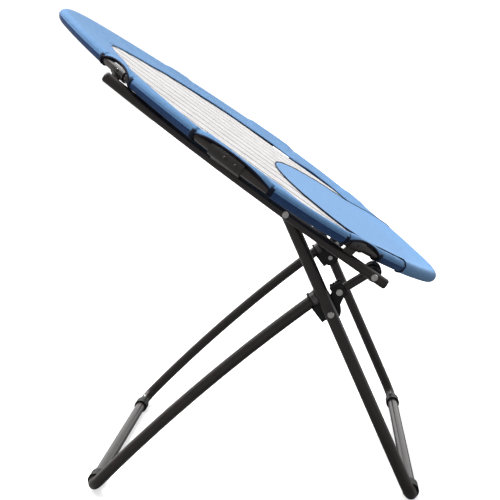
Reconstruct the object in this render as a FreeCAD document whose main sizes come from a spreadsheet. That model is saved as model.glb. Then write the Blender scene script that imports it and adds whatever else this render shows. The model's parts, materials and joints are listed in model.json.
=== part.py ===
import FreeCAD, Part
import math
import os
import Sketcher

from FreeCAD import Placement, Rotation, Vector

# Folding lounge chair: an oval tube ring with elastic seat bands, carried by two seat rails
# on a pair of folding leg frames. Row frame: +X towards the sitter's feet, +Y to the sitter's
# left, +Z up. The origin is on the floor under the middle of the ring. Millimetres, degrees.

doc = FreeCAD.newDocument("folding_lounge_chair")

# ---------------------------------------------------------------- driving dimensions

DIMENSIONS = [
    ("leg_diameter", 22.2), ("leg_wall", 1.5),
    ("rail_diameter", 18), ("rail_wall", 1.5),
    ("ring_diameter", 18), ("ring_wall", 1.2),
    ("link_diameter", 16), ("link_wall", 1.5),
    ("front_leg_y", 264), ("rear_leg_y", 238.5), ("rail_y", 285.5),
    ("floor_axis_z", 14.2), ("glide_radius", 15), ("glide_length", 24),
    ("front_foot_x", 292), ("rear_foot_x", -303), ("foot_bend_radius", 34),
    ("pivot_x", 81.5), ("pivot_z", 534.5),
    ("rail_tilt", 38.15), ("rail_radius", 7500), ("rail_above_pivot", 372),
    ("pivot_to_link", 180.5), ("rail_below_link", 22),
    ("pivot_to_knee", 190.3), ("leg_above_pivot", 11),
    ("release_x", 168.4), ("release_z", 391.3),
    ("rear_top_x", 143), ("rear_top_z", 390), ("rear_bow", 9.5),
    ("rivet_radius", 3), ("rivet_hole_radius", 3.05), ("rivet_head_radius", 6),
    ("rivet_head_height", 3), ("washer_radius", 9.5),
    ("boss_radius", 18), ("socket_radius", 14.6), ("socket_length", 20),
    ("socket_core_radius", 13), ("collar_radius", 14.4), ("collar_length", 9),
    ("lip_radius", 16), ("lip_length", 3.5),
    ("knee_half_width", 11.5), ("slot_half_width", 8.5), ("slot_radius", 19.4),
    ("eye_radius", 13), ("eye_half_width", 8), ("eye_hole_radius", 8.9),
    ("block_length", 22), ("block_height", 27), ("block_lift", 2), ("pin_head_height", 2.2),
    ("arm_height", 21), ("brace_length", 30), ("socket_overlap", 4), ("mouth_angle", 60),
    ("knuckle_radius", 15), ("knuckle_boss_radius", 12),
    ("rib_pitch", 5), ("rib_length", 2.5), ("rib_height", 2.2),
    ("hook_thickness", 4), ("hook_width", 6), ("hook_length", 16), ("hook_tip_radius", 3.2),
    ("ring_rivet_radius", 2.6), ("ring_rivet_height", 1.8),
    ("seat_height", 634), ("ring_tilt", 37.14), ("ring_length", 878),
    ("top_radius", 162), ("top_flank_radius", 791), ("upper_side_radius", 701),
    ("front_radius", 150), ("sleeve_radius", 11.5), ("side_sleeve_radius", 12.8),
    ("sleeve_clearance", 0.4), ("web_thickness", 5),
    ("cover_clearance", 0.4), ("cover_thickness", 1.9), ("cover_band", 82),
    ("band_edge_height", -1), ("cutout_depth", 18),
    ("strap_width", 50), ("strap_thickness", 2), ("strap_pitch", 57), ("strap_inset", 25),
    ("strap_drop", 3.4),
    ("panel_tip", 60), ("panel_radius", 232), ("panel_thickness", 1.8),
]

sheet = doc.addObject("Spreadsheet::Sheet", "dims")
for row, (alias, number) in enumerate(DIMENSIONS, start=1):
    sheet.set(f"A{row}", alias)
    sheet.set(f"B{row}", str(number))
    sheet.setAlias(f"B{row}", alias)
doc.recompute()


def dim(alias):
    """A driving dimension's number, read from the sheet."""
    return float(getattr(sheet, alias))


SIDES = {"left": 1, "right": -1}
RUNNING_GAP = 0.05  # radial clearance of a shaft in its hole
parts = []  # the finished sub-parts, in the order they are written


def finish(shape_object, label, placement):
    """Names a sub-part, puts it in its place and lists it for export."""
    shape_object.Label = label
    shape_object.Placement = placement
    parts.append(shape_object)
    return shape_object


# ---------------------------------------------------------------- sketches and bodies

def new_body(label):
    return doc.addObject("PartDesign::Body", label)


def new_sketch(body, name, role):
    """A sketch on one of the body's own origin planes."""
    sketch = body.newObject("Sketcher::SketchObject", name)
    plane = next(o for o in body.Origin.OriginFeatures if o.Role == role)
    sketch.AttachmentSupport = [(plane, "")]
    sketch.MapMode = "FlatFace"
    return sketch


def add_circle(sketch, centre, expression):
    """A circle whose radius follows the sheet."""
    index = sketch.addGeometry(Part.Circle(Vector(*centre, 0), Vector(0, 0, 1), 1))
    sketch.addConstraint(Sketcher.Constraint("Coincident", index, 3, -1, 1)
                         if centre == (0, 0) else
                         Sketcher.Constraint("DistanceX", -1, 1, index, 3, centre[0]))
    if centre != (0, 0):
        sketch.addConstraint(Sketcher.Constraint("DistanceY", -1, 1, index, 3, centre[1]))
    radius = sketch.addConstraint(Sketcher.Constraint("Radius", index, 1))
    sketch.setExpression(f"Constraints[{radius}]", expression)
    return index


def add_tube_section(body, diameter, wall):
    """The ring-shaped section of a tube, on the plane across its start."""
    section = new_sketch(body, f"{body.Name}_section", "YZ_Plane")
    add_circle(section, (0, 0), f"dims.{diameter} / 2")
    add_circle(section, (0, 0), f"dims.{diameter} / 2 - dims.{wall}")
    return section


def drill(body, spots, expression, role="XZ_Plane"):
    """Round holes across a tube, square to one of the body's own origin planes."""
    before = body.Shape.Volume
    holes = new_sketch(body, f"{body.Name}_holes", role)
    for spot in spots:
        add_circle(holes, spot, expression)
    pocket = body.newObject("PartDesign::Pocket", f"{body.Name}_drilled")
    pocket.Profile = holes
    pocket.Type = "ThroughAll"
    pocket.SideType = "Two sides"
    pocket.Type2 = "ThroughAll"
    doc.recompute()
    if body.Shape.Volume >= before - 1:
        raise ValueError(f"{body.Name}: the holes cut nothing")


def straight_tube(label, diameter, wall, length, placement):
    """A straight tube along its own X."""
    body = new_body(label)
    section = add_tube_section(body, diameter, wall)
    pad = body.newObject("PartDesign::Pad", f"{label}_pad")
    pad.Profile = section
    pad.Length = length
    doc.recompute()
    return finish(body, label, placement)


# ---------------------------------------------------------------- bent tubes

def walk(runs, heading=0.0, start=(0.0, 0.0)):
    """Planar path pieces from runs: ("line", length) or ("arc", radius, turn to the left)."""
    x, y = start
    pieces = []
    for kind, size, *turn in runs:
        direction = math.radians(heading)
        if kind == "line":
            end = (x + size * math.cos(direction), y + size * math.sin(direction))
            pieces.append(Part.LineSegment(Vector(x, y, 0), Vector(*end, 0)))
        else:
            side = math.copysign(1, turn[0])
            centre = Vector(x - side * size * math.sin(direction),
                            y + side * size * math.cos(direction), 0)
            arm = Vector(x, y, 0) - centre
            middle, far = (centre + Rotation(Vector(0, 0, 1), turn[0] * share).multVec(arm)
                           for share in (0.5, 1))
            pieces.append(Part.Arc(Vector(x, y, 0), middle, far))
            end = (far.x, far.y)
            heading += turn[0]
        x, y = end
    return pieces, (x, y), heading


def path_length(runs):
    return sum(run[1] if run[0] == "line" else run[1] * math.radians(abs(run[2]))
               for run in runs)


def bent_tube(label, runs, diameter, wall, placement, holes=(), role="XZ_Plane"):
    """A tube bent in its own XY plane from its origin along +X, drilled across for rivets."""
    body = new_body(label)
    path = new_sketch(body, f"{label}_path", "XY_Plane")
    path.addGeometry(walk(runs)[0])
    section = add_tube_section(body, diameter, wall)
    pipe = body.newObject("PartDesign::AdditivePipe", f"{label}_pipe")
    pipe.Profile = section
    pipe.Spine = path
    doc.recompute()
    radius, inner = dim(diameter) / 2, dim(diameter) / 2 - dim(wall)
    expected = math.pi * (radius ** 2 - inner ** 2) * path_length(runs)
    if abs(body.Shape.Volume / expected - 1) > 0.02:
        raise ValueError(f"{label}: swept volume {body.Shape.Volume} is not {expected}")
    if holes:
        drill(body, holes, "dims.rivet_hole_radius", role)
    return finish(body, label, placement)


def bent_rod(name, runs, radius, placement):
    """A solid rod along the same kind of path, used as a sleeve or to bore one."""
    body = new_body(name)
    path = new_sketch(body, f"{name}_path", "XY_Plane")
    path.addGeometry(walk(runs)[0])
    section = new_sketch(body, f"{name}_section", "YZ_Plane")
    add_circle(section, (0, 0), radius)
    pipe = body.newObject("PartDesign::AdditivePipe", f"{name}_pipe")
    pipe.Profile = section
    pipe.Spine = path
    body.Placement = placement
    return body


# ---------------------------------------------------------------- small primitives

def primitive(kind, name, placement=Placement(), **sizes):
    """A Part primitive whose sizes are expressions of the sheet, or plain numbers."""
    made = doc.addObject(f"Part::{kind}", name)
    for size, value in sizes.items():
        if isinstance(value, str):
            made.setExpression(size, value)
        else:
            setattr(made, size, value)
    made.Placement = placement
    return made


def fuse(name, shapes):
    made = doc.addObject("Part::MultiFuse", name)
    made.Shapes = shapes
    return made


def cut(name, base, tools):
    made = doc.addObject("Part::Cut", name)
    made.Base = base
    made.Tool = tools[0] if len(tools) == 1 else fuse(f"{name}_tools", tools)
    return made


def along_y(x, y, z):
    """Stands a primitive's own Z axis along the row's Y, starting at a point."""
    return Placement(Vector(x, y, z), Rotation(Vector(1, 0, 0), -90))


def cross_cylinder(name, x, z, y_from, y_to, radius):
    """A cylinder along the row's Y between two distances."""
    return primitive("Cylinder", name, along_y(x, y_from, z),
                     Radius=radius, Height=y_to - y_from)


def mirrored(side, low, high):
    """A pair of Y limits on the sitter's left or right, in rising order."""
    return (low, high) if side > 0 else (-high, -low)


# ---------------------------------------------------------------- layout worked out once

def polar(origin, length, down_angle):
    """The point a distance from another, at an angle below +X in the XZ plane."""
    angle = math.radians(down_angle)
    return (origin[0] + length * math.cos(angle), origin[1] - length * math.sin(angle))


PIVOT = (dim("pivot_x"), dim("pivot_z"))  # seat rails on the front legs
FRONT_FOOT = (dim("front_foot_x"), dim("floor_axis_z"))
REAR_FOOT = (dim("rear_foot_x"), dim("floor_axis_z"))
FRONT_SLOPE = math.degrees(math.atan2(PIVOT[1] - FRONT_FOOT[1], FRONT_FOOT[0] - PIVOT[0]))
KNEE = polar(PIVOT, dim("pivot_to_knee"), FRONT_SLOPE)  # rear legs on the front legs
RELEASE = (dim("release_x"), dim("release_z"))  # link on the rear legs' brackets
LEG_R = dim("leg_diameter") / 2
RAIL_R = dim("rail_diameter") / 2
RING_R = dim("ring_diameter") / 2
FRONT_Y, REAR_Y, RAIL_Y = dim("front_leg_y"), dim("rear_leg_y"), dim("rail_y")
BRACKET_FACE = FRONT_Y - LEG_R - 0.5  # how far out the rear legs' pieces may reach

# The seat rails are one long shallow arc in an upright plane, hollow towards the seat.
RAIL_LENGTH = dim("rail_above_pivot") + dim("pivot_to_link") + dim("rail_below_link")
RAIL_TURN = math.degrees(RAIL_LENGTH / dim("rail_radius"))


def rail_arc(along):
    """A rail's frame in its own plane, at a distance along it: X along it, Y to the seat."""
    turn = along / dim("rail_radius")
    return Placement(Vector(dim("rail_radius") * math.sin(turn),
                            dim("rail_radius") * (1 - math.cos(turn)), 0),
                     Rotation(Vector(0, 0, 1), math.degrees(turn)))


def rail_placement(side, along=0.0):
    """The same frame in the row: the arc's chord has the rail's tilt and passes the pivot."""
    upright = Rotation(Vector(0, 1, 0), dim("rail_tilt") + RAIL_TURN / 2) * Rotation(
        Vector(1, 0, 0), 90)
    pivot = upright.multVec(rail_arc(dim("rail_above_pivot")).Base)
    start = Vector(PIVOT[0], side * RAIL_Y, PIVOT[1]) - pivot
    return Placement(start, upright) * rail_arc(along)


LINK_JOINT = rail_placement(1, dim("rail_above_pivot") + dim("pivot_to_link")).Base
LINK_TOP = (LINK_JOINT.x, LINK_JOINT.z)  # link on the seat rails


# ---------------------------------------------------------------- front legs

def front_leg_frame():
    """One tube: down the right leg, across the floor and up the left leg."""
    bend = dim("foot_bend_radius")
    leg = math.dist(PIVOT, FRONT_FOOT) + dim("leg_above_pivot") - bend
    runs = [("line", leg), ("arc", bend, 90), ("line", 2 * (FRONT_Y - bend)),
            ("arc", bend, 90), ("line", leg)]
    top = polar(PIVOT, -dim("leg_above_pivot"), FRONT_SLOPE)
    placement = Placement(Vector(top[0], -FRONT_Y, top[1]),
                          Rotation(Vector(0, 1, 0), FRONT_SLOPE))
    bent_tube("front_leg_frame", runs, "leg_diameter", "leg_wall", placement,
              holes=[(dim("leg_above_pivot"), 0),
                     (dim("leg_above_pivot") + dim("pivot_to_knee"), 0)])


def front_leg_plugs():
    """Rounded plastic plugs in the top ends of the front legs."""
    top = polar(PIVOT, -dim("leg_above_pivot"), FRONT_SLOPE)
    plugs = []
    for name, side in SIDES.items():
        stand = Placement(Vector(top[0], side * FRONT_Y, top[1]),
                          Rotation(Vector(0, 1, 0), FRONT_SLOPE - 90))
        stem = primitive("Cylinder", f"leg_plug_stem_{name}",
                         stand * Placement(Vector(0, 0, -6), Rotation()), Height=6,
                         Radius=f"dims.leg_diameter / 2 - dims.leg_wall - {RUNNING_GAP}")
        cap = primitive("Cone", f"leg_plug_cap_{name}", stand, Height=3,
                        Radius1="dims.leg_diameter / 2", Radius2="dims.leg_diameter / 2 - 2.5")
        plugs += [stem, cap]
    finish(fuse("front_leg_plugs", plugs), "front_leg_plugs", Placement())


def floor_glide(label, foot_x, side, leg_y):
    """A plastic ring round the floor tube, beside its bend, with a flat underside."""
    inner = leg_y - dim("foot_bend_radius") - dim("glide_length")
    low, high = mirrored(side, inner, inner + dim("glide_length"))
    axis = dim("floor_axis_z")
    ring = cross_cylinder(f"{label}_ring", foot_x, axis, low, high, "dims.glide_radius")
    bore = cross_cylinder(f"{label}_bore", foot_x, axis, low - 1, high + 1,
                          f"dims.leg_diameter / 2 + {RUNNING_GAP}")
    below = primitive("Box", f"{label}_below",
                      Placement(Vector(foot_x - 20, low - 1, -20), Rotation()),
                      Length=40, Width=high - low + 2, Height=20)
    finish(cut(label, ring, [bore, below]), label, Placement())


# ---------------------------------------------------------------- rivets and washers

def rivet(name, point, side, inner_y, outer_y, dome_height):
    """One rivet along Y: a shank, a domed head outside and a flat head inside."""
    x, z = point
    shank = cross_cylinder(f"{name}_shank", x, z, *mirrored(side, inner_y, outer_y),
                           "dims.rivet_radius")
    inside = cross_cylinder(f"{name}_inside", x, z, *mirrored(side, inner_y - 1.5, inner_y),
                            "dims.rivet_head_radius - 1")
    dome = primitive("Sphere", f"{name}_dome",
                     Placement(Vector(x, side * outer_y, z), Rotation(Vector(1, 0, 0), -90 * side)),
                     Radius="dims.rivet_head_radius", Angle1=0, Angle2=90, Angle3=360)
    trim = cross_cylinder(f"{name}_trim", x, z,
                          *mirrored(side, outer_y + dome_height, outer_y + 10),
                          "dims.rivet_head_radius + 1")
    return fuse(name, [shank, inside, cut(f"{name}_head", dome, [trim])])


def rivet_pair(label, point, inner_y, outer_y, dome_height=dim("rivet_head_height")):
    """The same rivet on both sides of the chair, as one group."""
    pair = [rivet(f"{label}_{name}", point, side, inner_y, outer_y, dome_height)
            for name, side in SIDES.items()]
    finish(fuse(label, pair), label, Placement())


def washer_pair(label, point, inner_y, outer_y):
    """Thin nylon washers between two pieces that turn on a rivet."""
    washers = []
    for name, side in SIDES.items():
        low, high = mirrored(side, inner_y, outer_y)
        disc = cross_cylinder(f"{label}_{name}_disc", *point, low, high, "dims.washer_radius")
        hole = cross_cylinder(f"{label}_{name}_hole", *point, low - 1, high + 1,
                              "dims.rivet_hole_radius")
        washers.append(cut(f"{label}_{name}", disc, [hole]))
    finish(fuse(label, washers), label, Placement())


# ---------------------------------------------------------------- rear legs

def rear_leg_frame():
    """One tube: bowed side legs in upright planes, joined by a bar along the floor."""
    top = Vector(dim("rear_top_x"), REAR_Y, dim("rear_top_z"))
    foot = Vector(REAR_FOOT[0], REAR_Y, REAR_FOOT[1])
    chord = foot - top
    half_bow = math.radians(dim("rear_bow") / 2)
    radius = chord.Length / (2 * math.sin(half_bow))
    outward = Vector(chord.z, 0, -chord.x).normalize()  # the bow's side, up and back
    middle = (top + foot) / 2 + outward * radius * (1 - math.cos(half_bow))
    centre = middle - outward * radius
    bend = dim("foot_bend_radius")
    turn = math.degrees(2 * half_bow - bend / radius)
    arm = top - centre
    axis = arm.cross(foot - centre).normalize()
    lower = centre + Rotation(axis, turn).multVec(arm)
    half_way = centre + Rotation(axis, turn / 2).multVec(arm)
    down = (foot - lower).normalize()
    across = Vector(0, -1, 0)
    corner = lower + down * bend
    inside = corner + across * bend
    bend_middle = (lower + across * bend) + (down - across).normalize() * bend

    def flip(point):
        return Vector(point.x, -point.y, point.z)

    edges = [Part.Arc(top, half_way, lower), Part.Arc(lower, bend_middle, inside),
             Part.LineSegment(inside, flip(inside)),
             Part.Arc(flip(inside), flip(bend_middle), flip(lower)),
             Part.Arc(flip(lower), flip(half_way), flip(top))]
    spine = Part.Wire([edge.toShape() for edge in edges])
    start = axis.cross(arm).normalize()

    def sweep(tube_radius):
        section = Part.Wire([Part.Circle(top, start, tube_radius).toShape()])
        return spine.makePipeShell([section], True, True)

    inner = LEG_R - dim("leg_wall")
    solid = sweep(LEG_R).cut(sweep(inner))
    expected = math.pi * (LEG_R ** 2 - inner ** 2) * spine.Length
    if abs(solid.Volume / expected - 1) > 0.02:
        raise ValueError(f"rear_leg_frame: swept volume {solid.Volume} is not {expected}")
    frame = doc.addObject("Part::Feature", "rear_leg_frame")
    frame.Shape = solid
    finish(frame, "rear_leg_frame", Placement())


LINK_SPAN = math.dist(LINK_TOP, RELEASE)
LINK_RISE = math.degrees(math.atan2(LINK_TOP[1] - RELEASE[1], LINK_TOP[0] - RELEASE[0]))
REAR_SLOPE = (math.degrees(math.atan2(dim("rear_top_z") - REAR_FOOT[1],
                                      dim("rear_top_x") - REAR_FOOT[0]))
              - dim("rear_bow") / 2)  # the side leg's slope at its top end


def hinge_bracket(name, side):
    """Moulded bracket: a boss on the knee rivet, a socket for the rear leg, a link block."""
    label = f"hinge_bracket_{name}"
    low, high = mirrored(side, REAR_Y - dim("knee_half_width"), REAR_Y + dim("knee_half_width"))
    boss = cross_cylinder(f"{label}_boss", *KNEE, low, high, "dims.boss_radius")
    reach = math.dist(KNEE, RELEASE)
    lean = math.degrees(math.atan2(RELEASE[1] - KNEE[1], RELEASE[0] - KNEE[0]))
    arm = primitive("Box", f"{label}_arm",
                    Placement(Vector(KNEE[0], low, KNEE[1]), Rotation(Vector(0, 1, 0), -lean))
                    * Placement(Vector(0, 0, -dim("arm_height") / 2), Rotation()),
                    Length=reach, Width=high - low, Height="dims.arm_height")
    block_place = (Placement(Vector(RELEASE[0], low, RELEASE[1]),
                             Rotation(Vector(0, 1, 0), -LINK_RISE))
                   * Placement(Vector(-dim("block_length") / 2, 0,
                                      dim("block_lift") - dim("block_height") / 2), Rotation()))
    block = primitive("Box", f"{label}_link_block", block_place, Length="dims.block_length",
                      Width=high - low, Height="dims.block_height")
    ribs = [primitive("Box", f"{label}_rib_{i}",
                      block_place * Placement(Vector(2 + dim("rib_pitch") * i, 0,
                                                     dim("block_height") - 1), Rotation()),
                      Length="dims.rib_length", Width=high - low, Height="dims.rib_height")
            for i in range(4)]
    back = Rotation(Vector(0, 1, 0), -90 - REAR_SLOPE)
    inside_end = Vector(dim("rear_top_x"), side * REAR_Y, dim("rear_top_z"))
    socket_place = (Placement(inside_end, back)
                    * Placement(Vector(0, 0, -dim("socket_overlap")), Rotation()))
    collar_start = dim("socket_length")
    lip_start = collar_start + dim("collar_length")
    socket = primitive("Cylinder", f"{label}_socket", socket_place,
                       Radius="dims.socket_radius", Height="dims.socket_length")
    core = primitive("Cylinder", f"{label}_core", socket_place,
                     Radius="dims.socket_core_radius", Height=lip_start + dim("lip_length"))
    lip = primitive("Cylinder", f"{label}_lip",
                    socket_place * Placement(Vector(0, 0, lip_start), Rotation()),
                    Radius="dims.lip_radius", Height="dims.lip_length")
    brace = primitive("Box", f"{label}_brace",
                      Placement(Vector(KNEE[0], low, KNEE[1]), back)
                      * Placement(Vector(-8, 0, -6), Rotation()), Length="dims.brace_length",
                      Width=high - low, Height="dims.brace_length")
    bore = primitive("Cylinder", f"{label}_bore", Placement(inside_end, back),
                     Radius="dims.leg_diameter / 2 + 0.25", Height=70)
    knee_hole = cross_cylinder(f"{label}_knee_hole", *KNEE, low - 1, high + 1,
                               "dims.rivet_hole_radius")
    pin_hole = cross_cylinder(f"{label}_pin_hole", *RELEASE, low - 1, high + 1,
                              "dims.rivet_hole_radius")
    slot_low, slot_high = mirrored(side, REAR_Y - dim("slot_half_width"),
                                   REAR_Y + dim("slot_half_width"))
    sweep_slot = cross_cylinder(f"{label}_slot", *RELEASE, slot_low, slot_high,
                                "dims.slot_radius")
    mouth = primitive("Box", f"{label}_mouth",
                      Placement(Vector(RELEASE[0], slot_low, RELEASE[1]),
                                Rotation(Vector(0, 1, 0), dim("mouth_angle")))
                      * Placement(Vector(0, 0, -9.5), Rotation()),
                      Length=60, Width=slot_high - slot_low, Height=60)
    moulding = fuse(f"{label}_moulding", [boss, arm, block, socket, core, lip, brace] + ribs)
    finish(cut(label, moulding, [bore, knee_hole, pin_hole, sweep_slot, mouth,
                                 outer_trim(label, side)]), label, Placement())
    collar = primitive("Cylinder", f"{label}_collar_body",
                       socket_place * Placement(Vector(0, 0, collar_start), Rotation()),
                       Radius="dims.collar_radius", Height="dims.collar_length")
    seat = primitive("Cylinder", f"{label}_collar_bore",
                     socket_place * Placement(Vector(0, 0, collar_start - 1), Rotation()),
                     Radius=f"dims.socket_core_radius + {RUNNING_GAP}", Height=20)
    return cut(f"{label}_collar", collar, [seat, brace, arm, outer_trim(f"{label}_collar", side)])


def outer_trim(label, side):
    """What lies too far out on one side to pass the front leg."""
    low, high = mirrored(side, BRACKET_FACE, BRACKET_FACE + 20)
    return primitive("Box", f"{label}_trim", Placement(Vector(50, low, 300), Rotation()),
                     Length=200, Width=high - low, Height=200)


def hinge_brackets():
    """Both brackets, and the plated collars round their sockets as one group."""
    collars = [hinge_bracket(name, side) for name, side in SIDES.items()]
    finish(fuse("socket_collars", collars), "socket_collars", Placement())


def release_hooks():
    """A small hooked lug under each link block, pulled to fold the chair."""
    hooks = []
    for name, side in SIDES.items():
        block_face = REAR_Y - dim("knee_half_width")
        low, high = mirrored(side, block_face - dim("hook_width"), block_face)
        stem = primitive("Box", f"release_hook_{name}_stem",
                         Placement(Vector(RELEASE[0] - 8, low, RELEASE[1] - 22), Rotation()),
                         Length="dims.hook_thickness", Width="dims.hook_width",
                         Height="dims.hook_length")
        tip = cross_cylinder(f"release_hook_{name}_tip", RELEASE[0] - 9, RELEASE[1] - 21,
                             low, high, "dims.hook_tip_radius")
        hooks.append(fuse(f"release_hook_{name}", [stem, tip]))
    finish(fuse("release_hooks", hooks), "release_hooks", Placement())


# ---------------------------------------------------------------- links

def link(name, side):
    """The short link: a tube, a round knuckle under the seat rail and an open eye below."""
    eye_to_tube = dim("eye_radius") - 2
    knuckle_to_tube = dim("knuckle_radius") - 3
    start = polar(RELEASE, eye_to_tube, -LINK_RISE)
    length = LINK_SPAN - eye_to_tube - knuckle_to_tube
    straight_tube(f"link_tube_{name}", "link_diameter", "link_wall", length,
                  Placement(Vector(start[0], side * REAR_Y, start[1]),
                            Rotation(Vector(0, 1, 0), -LINK_RISE)))
    tube = primitive("Cylinder", f"link_socket_{name}",
                     Placement(Vector(start[0], side * REAR_Y, start[1]),
                               Rotation(Vector(0, 1, 0), 90 - LINK_RISE)),
                     Radius="dims.link_diameter / 2", Height=length)

    low, high = mirrored(side, REAR_Y - dim("eye_half_width"), REAR_Y + dim("eye_half_width"))
    eye = cross_cylinder(f"link_eye_{name}_disc", *RELEASE, low, high, "dims.eye_radius")
    eye_hole = cross_cylinder(f"link_eye_{name}_hole", *RELEASE, low - 1, high + 1,
                              "dims.eye_hole_radius")
    finish(cut(f"link_eye_{name}", eye, [eye_hole, tube]), f"link_eye_{name}", Placement())

    rail_side = RAIL_Y - RAIL_R - 0.4
    disc_low, disc_high = mirrored(side, REAR_Y - dim("knee_half_width"),
                                   REAR_Y + dim("knee_half_width"))
    boss_low, boss_high = mirrored(side, REAR_Y, rail_side)
    disc = cross_cylinder(f"link_knuckle_{name}_disc", *LINK_TOP, disc_low, disc_high,
                          "dims.knuckle_radius")
    boss = cross_cylinder(f"link_knuckle_{name}_boss", *LINK_TOP, boss_low, boss_high,
                          "dims.knuckle_boss_radius")
    hole_low, hole_high = mirrored(side, REAR_Y - 20, rail_side + 1)
    hole = cross_cylinder(f"link_knuckle_{name}_hole", *LINK_TOP, hole_low, hole_high,
                          "dims.rivet_hole_radius")
    body = fuse(f"link_knuckle_{name}_block", [disc, boss])
    finish(cut(f"link_knuckle_{name}", body, [hole, tube]), f"link_knuckle_{name}", Placement())


# ---------------------------------------------------------------- seat rails

def seat_rail(name, side):
    spots = [rail_arc(along).Base for along in
             (dim("rail_above_pivot"), dim("rail_above_pivot") + dim("pivot_to_link"))]
    bent_tube(f"seat_rail_{name}", [("arc", dim("rail_radius"), RAIL_TURN)],
              "rail_diameter", "rail_wall", rail_placement(side),
              holes=[(spot.x, spot.y) for spot in spots], role="XY_Plane")


def rail_end_plugs():
    """Plastic plugs in the four rail ends."""
    plugs = []
    for name, side in SIDES.items():
        for end, along, flip in (("top", 0, -90), ("bottom", RAIL_LENGTH, 90)):
            stand = (rail_placement(side, along)
                     * Placement(Vector(), Rotation(Vector(0, 1, 0), flip)))
            stem = primitive("Cylinder", f"rail_plug_stem_{name}_{end}",
                             stand * Placement(Vector(0, 0, -10), Rotation()), Height=10,
                             Radius=f"dims.rail_diameter / 2 - dims.rail_wall - {RUNNING_GAP}")
            cap = primitive("Cone", f"rail_plug_cap_{name}_{end}", stand, Height=3,
                            Radius1="dims.rail_diameter / 2 + 0.3",
                            Radius2="dims.rail_diameter / 2 - 1.5")
            plugs += [stem, cap]
    finish(fuse("rail_end_plugs", plugs), "rail_end_plugs", Placement())


# ---------------------------------------------------------------- the ring's outline

SEAT = Placement(Vector(0, 0, dim("seat_height")), Rotation(Vector(0, 1, 0), dim("ring_tilt")))
HALF_LENGTH = dim("ring_length") / 2

# Headings of the left half's outline where its radius changes, from the top round to the
# front. The tubes meet at the top, side and front joints, where the headings are the joints'.
HEADINGS = [90.0, 52.7, 36.2, 15.1, 13.2, -41.4, -63.5, -90.0]
TOP_JOINT, SIDE_JOINT, FRONT_JOINT = 2, 4, 5  # their places in the list


def close_ring():
    """All the radii: the two that are left free make the half outline end on the centreline."""
    def share(first, last):
        """What one radius between two places adds along and across the seat, per millimetre."""
        a, b = math.radians(HEADINGS[first]), math.radians(HEADINGS[last])
        return math.sin(a) - math.sin(b), math.cos(b) - math.cos(a)

    known = [(dim("top_radius"), share(0, 1)), (dim("top_flank_radius"), share(1, 2)),
             (dim("upper_side_radius"), share(2, 3)), (dim("front_radius"), share(6, 7))]
    side, flank = share(3, 5), share(5, 6)
    rest_along = dim("ring_length") - sum(radius * added[0] for radius, added in known)
    rest_across = -sum(radius * added[1] for radius, added in known)
    determinant = side[0] * flank[1] - flank[0] * side[1]
    side_radius = (rest_along * flank[1] - flank[0] * rest_across) / determinant
    flank_radius = (side[0] * rest_across - rest_along * side[1]) / determinant
    return [radius for radius, _ in known[:3]] + [side_radius, side_radius, flank_radius,
                                                  known[3][0]]


RADII = close_ring()


def half_runs(first, last, inset=0.0):
    """The outline's arcs from one heading's place to another's, set in from the ring's line."""
    return [("arc", RADII[i] - inset, HEADINGS[i + 1] - HEADINGS[i])
            for i in range(first, last)]


def joint_point(index, inset=0.0):
    """The outline's point at a heading's place, on the left half, in the ring's plane."""
    start = (-HALF_LENGTH + inset, 0.0)
    return walk(half_runs(0, index, inset), 90.0, start)[1]


def oval_wire(inset):
    """The whole outline, set in, as a closed wire in the ring's plane."""
    runs = half_runs(0, len(RADII), inset)
    start = (-HALF_LENGTH + inset, 0.0)
    left = walk(runs, 90.0, start)[0]
    right = walk(list(reversed(runs)), -90.0, (HALF_LENGTH - inset, 0.0))[0]
    return Part.Wire([piece.toShape() for piece in left + right])


# ---------------------------------------------------------------- ring tubes

JOINT_GAP = 0.5  # left between two tube ends inside a bracket's sleeve


def ring_tube(label, first, last, side):
    """One tube of the ring between two joints, on one side."""
    runs = half_runs(first, last)
    point = joint_point(first)
    heading = HEADINGS[first]
    if side < 0:
        runs = [(kind, radius, -turn) for kind, radius, turn in runs]
        point = (point[0], -point[1])
        heading = -heading
    trimmed = trim_ends(runs)
    direction = math.radians(heading)
    start = Vector(point[0] + JOINT_GAP * math.cos(direction),
                   point[1] + JOINT_GAP * math.sin(direction), 0)
    bent_tube(label, trimmed, "ring_diameter", "ring_wall",
              SEAT * Placement(start, Rotation(Vector(0, 0, 1), heading)))


def trim_ends(runs):
    """Takes the joint gap off both ends of a run of arcs."""
    runs = list(runs)
    for end in (0, -1):
        kind, radius, turn = runs[end]
        less = math.copysign(math.degrees(JOINT_GAP / radius), turn)
        runs[end] = (kind, radius, turn - less)
    return runs


def ring_arc(label, first, last):
    """A tube across the chair's middle: from the right joint round to the left one."""
    half = half_runs(first, last)
    if first == 0:  # the top: right joint, up over the top and down to the left joint
        runs = [(kind, radius, turn) for kind, radius, turn in reversed(half)] + half
        point, heading = joint_point(last), 180 - HEADINGS[last]
    else:  # the front: left joint, round the front and back to the right joint
        runs = half + list(reversed(half))
        point, heading = joint_point(first), HEADINGS[first]
        point = (point[0], -point[1])
    direction = math.radians(heading)
    start = Vector(point[0] + JOINT_GAP * math.cos(direction),
                   -point[1] + JOINT_GAP * math.sin(direction), 0)
    bent_tube(label, trim_ends(runs), "ring_diameter", "ring_wall",
              SEAT * Placement(start, Rotation(Vector(0, 0, 1), heading)))


# ---------------------------------------------------------------- ring brackets

# Outline place, sleeve length and radius, how far along the sleeve's middle lies from the
# joint, the web's width, its place from the joint and how far along it leans to the rail.
BRACKETS = {"top": (TOP_JOINT, 34, "sleeve_radius", 12, 15, 0, 12),
            "side": (SIDE_JOINT, 62, "side_sleeve_radius", 2, 56, 2, 0),
            "front": (FRONT_JOINT, 35, "sleeve_radius", 9.5, 18, 14, -3)}
RIVET_SPOTS = {"top": [12], "side": [1, 21], "front": [10]}  # from the joint, along the ring


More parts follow.
